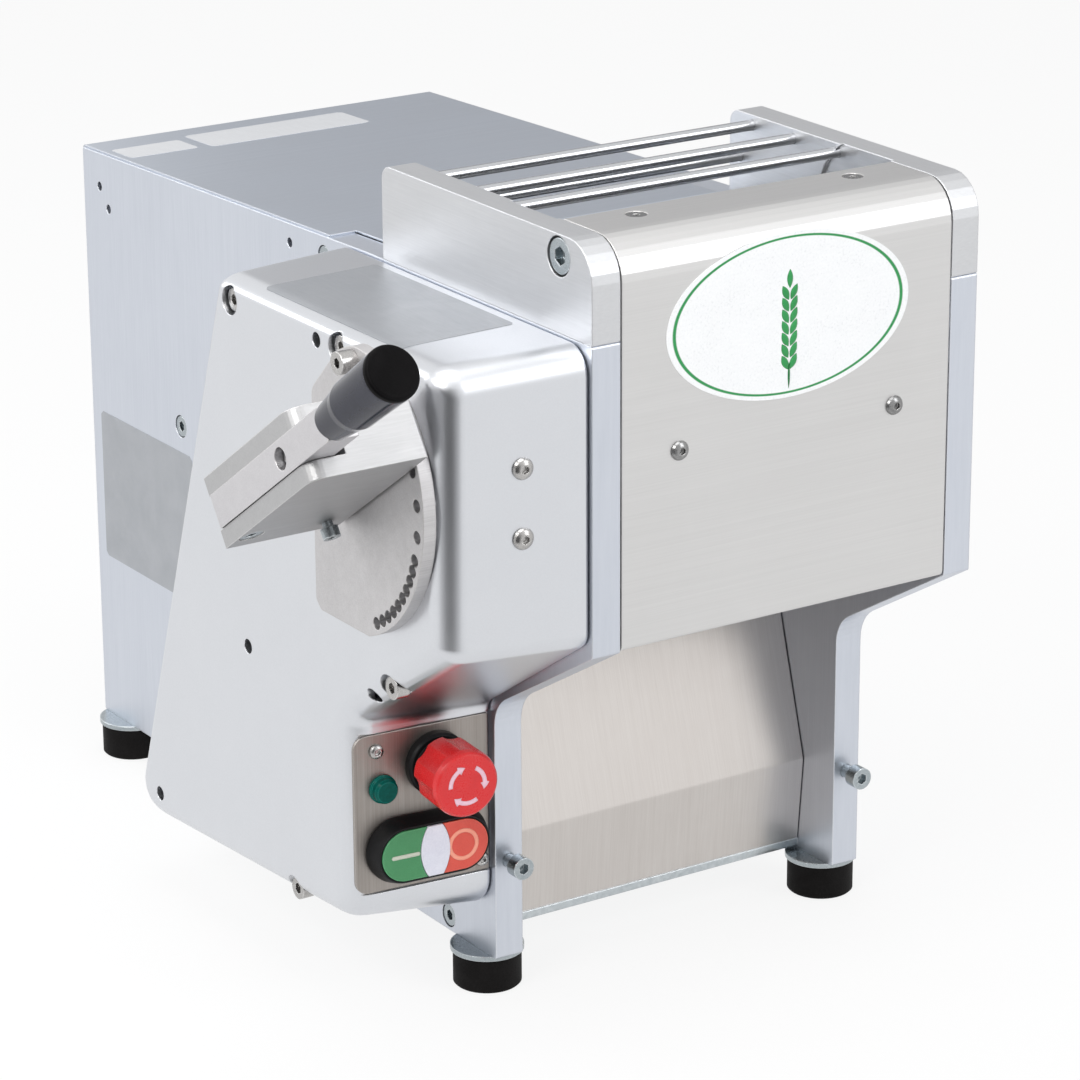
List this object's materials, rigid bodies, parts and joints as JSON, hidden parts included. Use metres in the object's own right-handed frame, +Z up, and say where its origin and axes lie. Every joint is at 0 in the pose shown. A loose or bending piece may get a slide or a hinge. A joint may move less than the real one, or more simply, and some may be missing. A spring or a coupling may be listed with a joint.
{
  "type": "electric dough sheeter",
  "caption": "Table-top electric pasta sheeter with a thickness lever on an index plate, a rod guard over the rollers and a switch panel.",
  "frame": {"origin": "middle of the machine's bounding box, on the table under the feet", "axes": "+X from the gear cover along the rollers, +Y from the front to the rear, +Z up"},
  "size_m": [0.4495, 0.6754, 0.4688],
  "materials": {
    "plate": "fine milled, satin",
    "casting": "cast, satin polished",
    "steel": "machined",
    "zinc": "blue zinc plated",
    "stainless_screw": "turned stainless",
    "stainless": "brushed stainless",
    "rod": "polished stainless rod",
    "sheet": "fine stainless sheet",
    "galvanised": "galvanised sheet",
    "roller": "ground and polished",
    "bronze": "sintered bronze",
    "black_plastic": "moulded",
    "black_gloss": "moulded",
    "box_plastic": "moulded",
    "white_plastic": "food grade",
    "gearbox_paint": "hammered paint",
    "motor_paint": "paint",
    "grip": "moulded",
    "grip_cap": "moulded",
    "panel": "brushed",
    "lamp_green": "clear green",
    "red": "moulded",
    "green": "moulded",
    "orange_red": "moulded",
    "white_lens": "translucent",
    "rubber": "moulded"
  },
  "bodies": {
    "frame": {"side_plate_left": "plate", "side_plate_right": "plate", "tie_bars": "steel", "tie_screws": "zinc", "gear_cover": "casting", "gear_cover_screws": "stainless_screw", "index_plate": "stainless", "index_plate_screws": "zinc", "guard_plate_left": "plate", "guard_plate_right": "plate", "guard_rods": "rod", "guard_screws": "zinc", "front_cover": "stainless", "cover_crossbars": "steel", "front_cover_screws": "stainless_screw", "top_cover": "sheet", "rear_panel": "sheet", "cable_gland": "black_plastic", "bottom_plate": "galvanised", "earth_terminal": "stainless_screw", "exit_chute": "stainless", "rear_scraper": "white_plastic", "rear_bearings": "steel", "axle_bushes": "bronze", "bearing_caps": "plate", "bearing_cap_screws": "zinc", "idler_pin": "steel", "gearbox": "gearbox_paint", "motor": "motor_paint", "contactor_box": "box_plastic", "switch_panel": "panel", "panel_screws": "stainless_screw", "pilot_lamp": "lamp_green", "estop_collar": "black_plastic", "twin_bezel": "black_gloss", "twin_lens": "white_lens", "switch_bodies": "box_plastic", "foot_pads": "rubber", "foot_washers": "zinc"},
    "lever": {"eccentric_axle": "steel", "lever_block": "casting", "lever_screws": "zinc", "lock_spring": "steel"},
    "front_scraper": {"scraper_frame": "white_plastic"},
    "front_roller": {"front_roller": "roller", "roller_bushes": "bronze", "front_roller_gear": "steel"},
    "rear_roller": {"rear_roller": "roller", "rear_roller_gear": "steel"},
    "idler": {"idler_gear": "steel"},
    "drive": {"drive_gear": "steel", "output_shaft": "steel"},
    "lock_bar": {"lock_bar": "plate", "lever_grip": "grip", "grip_cap": "grip_cap"},
    "index_pin": {"index_pin": "steel"},
    "stop_stem": {"estop_stem": "black_plastic"},
    "stop_head": {"estop_head": "red"},
    "start_button": {"start_button": "green"},
    "stop_button": {"stop_button": "orange_red"}
  },
  "joints": [
    {"name": "lever_turn", "type": "hinge", "parent": "frame", "child": "lever", "pos_m": [-0.1435, -0.15687, 0.3297], "axis": [1, 0, 0], "range_deg": [0, 97.9]},
    {"name": "scraper_hang", "type": "hinge", "parent": "lever", "child": "front_scraper", "pos_m": [0.0855, -0.15988, 0.32707], "axis": [1, 0, 0], "range_deg": [-98, 0]},
    {"name": "rear_roller_spin", "type": "hinge", "parent": "frame", "child": "rear_roller", "pos_m": [0.0855, -0.09345, 0.32707], "axis": [1, 0, 0], "continuous": true},
    {"name": "front_roller_spin", "type": "hinge", "parent": "front_scraper", "child": "front_roller", "pos_m": [0.0855, -0.15988, 0.32707], "axis": [1, 0, 0], "continuous": true},
    {"name": "idler_spin", "type": "hinge", "parent": "frame", "child": "idler", "pos_m": [-0.0645, -0.0509, 0.27636], "axis": [1, 0, 0], "continuous": true},
    {"name": "drive_spin", "type": "hinge", "parent": "frame", "child": "drive", "pos_m": [-0.0645, -0.01982, 0.21791], "axis": [1, 0, 0], "continuous": true},
    {"name": "lock_bar_swing", "type": "hinge", "parent": "lever", "child": "lock_bar", "pos_m": [-0.204, -0.16132, 0.33276], "axis": [0, -0.5664, -0.8241], "range_deg": [0, 7.8], "stiffness_Nm_per_rad": 4, "springref_deg": -5.73, "deforming": ["lock_spring"]},
    {"name": "index_pin_slide", "type": "slide", "parent": "lever", "child": "index_pin", "axis": [-1, 0, 0], "range_m": [0, 0.01]},
    {"name": "emergency_stop_push", "type": "slide", "parent": "frame", "child": "stop_stem", "axis": [0.0905, 0.9959, 0], "range_m": [0, 0.005]},
    {"name": "emergency_stop_twist", "type": "hinge", "parent": "stop_stem", "child": "stop_head", "pos_m": [-0.08017, -0.16962, 0.152], "axis": [0.0905, 0.9959, 0], "range_deg": [0, 30], "stiffness_Nm_per_rad": 0.05},
    {"name": "start_push", "type": "slide", "parent": "frame", "child": "start_button", "axis": [0.0905, 0.9959, 0], "range_m": [0, 0.0025], "stiffness_N_per_m": 600},
    {"name": "stop_push", "type": "slide", "parent": "frame", "child": "stop_button", "axis": [0.0905, 0.9959, 0], "range_m": [0, 0.0025], "stiffness_N_per_m": 600}
  ],
  "couplings": [
    {"joint": "scraper_hang", "follows": "lever_turn", "ratio": -1},
    {"joint": "front_roller_spin", "follows": "rear_roller_spin", "ratio": -1},
    {"joint": "idler_spin", "follows": "rear_roller_spin", "ratio": -0.83333},
    {"joint": "drive_spin", "follows": "rear_roller_spin", "ratio": 1},
    {"joint": "index_pin_slide", "follows": "lock_bar_swing", "m_per_rad": 0.073}
  ]
}
